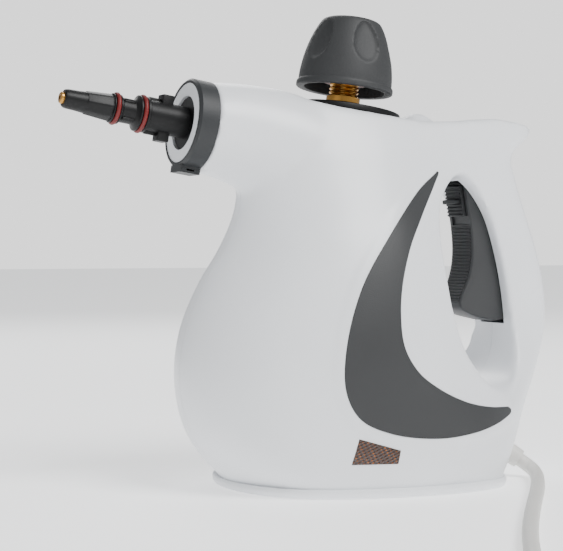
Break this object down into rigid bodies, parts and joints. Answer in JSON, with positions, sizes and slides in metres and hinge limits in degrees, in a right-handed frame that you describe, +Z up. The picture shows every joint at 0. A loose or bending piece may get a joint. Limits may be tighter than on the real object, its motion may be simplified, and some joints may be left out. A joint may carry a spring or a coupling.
{
  "type": "handheld steam cleaner",
  "caption": "Handheld pressurised steam cleaner: jug-shaped body with loop handle and trigger, screw-down safety cap, fixed bayonet steam nozzle, mains lead with plug.",
  "frame": {"origin": "middle of the base underside, on the surface it stands on", "axes": "-X towards the nozzle, +X towards the handle, +Z up; the body halves meet on the plane Y = 0"},
  "size_m": [0.2792, 0.4975, 0.2435],
  "materials": {
    "white_shell": "satin moulded white",
    "dark_trim": "fine-textured dark grey",
    "cap_plastic": "matt charcoal",
    "black_plastic": "black moulded",
    "amber_window": "amber prismatic",
    "foot_rubber": "dark rubber",
    "steel": "zinc-plated",
    "lamp_glass": "neon lamp glass",
    "red_seal": "red silicone",
    "brass": "machined brass",
    "cast_aluminium": "die-cast",
    "cord_jacket": "pale grey PVC"
  },
  "bodies": {
    "body": {"left_body_half": "white_shell", "right_body_half": "white_shell", "left_crescent_inlay": "dark_trim", "right_crescent_inlay": "dark_trim", "indicator_window": "amber_window", "base_cover": "white_shell", "rubber_feet": "foot_rubber", "base_screws": "steel", "body_screws": "steel", "lamp_holder": "black_plastic", "indicator_lamps": "lamp_glass", "nose_collar": "dark_trim", "outlet_ring": "white_shell", "outlet_disc": "black_plastic", "steam_nozzle": "black_plastic", "nozzle_o_rings": "red_seal", "nozzle_jet": "brass", "filler_plate": "black_plastic", "filler_neck": "brass", "boiler_lower": "cast_aluminium", "boiler_upper": "cast_aluminium", "boiler_gasket": "red_seal", "boiler_bolts": "steel", "heating_element": "steel", "thermostat": "black_plastic", "thermal_fuse": "steel", "valve_body": "brass", "valve_gland": "brass", "plunger_spring": "steel", "feed_pipe": "steel", "steam_pipe": "red_seal", "trigger_pin": "steel", "trigger_spring": "steel", "strain_relief": "cord_jacket", "cord_clamp": "black_plastic", "terminal_block": "black_plastic", "wiring": "cord_jacket", "cord_tube": "cord_jacket", "cord_coil": "cord_jacket", "cord_tail": "cord_jacket", "plug_body": "cord_jacket", "plug_pins": "brass"},
    "trigger": {"trigger": "dark_trim"},
    "lock_slide": {"trigger_lock": "black_plastic"},
    "valve_plunger": {"valve_plunger": "steel", "plunger_clip": "steel"},
    "gasket": {"cap_gasket": "red_seal"},
    "cap": {"safety_cap": "cap_plastic", "cap_plug": "brass"}
  },
  "joints": [
    {"name": "trigger_squeeze", "type": "hinge", "parent": "body", "child": "trigger", "pos_m": [0.078, 0, 0.168], "axis": [0, -1, 0], "range_deg": [0, 5.5], "stiffness_Nm_per_rad": 0.6, "springref_deg": -11.46, "deforming": ["trigger_spring"]},
    {"name": "lock_slide", "type": "slide", "parent": "trigger", "child": "lock_slide", "axis": [0.148, 0, -0.989], "range_m": [0, 0.0045]},
    {"name": "plunger_push", "type": "slide", "parent": "body", "child": "valve_plunger", "axis": [-1, 0, 0], "range_m": [0, 0.001], "deforming": ["plunger_spring"]},
    {"name": "cap_lift", "type": "slide", "parent": "body", "child": "gasket", "axis": [0.1288, 0, 0.9917], "range_m": [-0.0073, 0.012]},
    {"name": "cap_turn", "type": "hinge", "parent": "gasket", "child": "cap", "pos_m": [-0.0031, 0, 0.2045], "axis": [0.1288, 0, 0.9917], "range_deg": [-1314, 2160]}
  ],
  "couplings": [
    {"joint": "plunger_push", "follows": "trigger_squeeze", "m_per_rad": 0.01},
    {"joint": "cap_turn", "follows": "cap_lift", "rad_per_m": 3141.6}
  ]
}
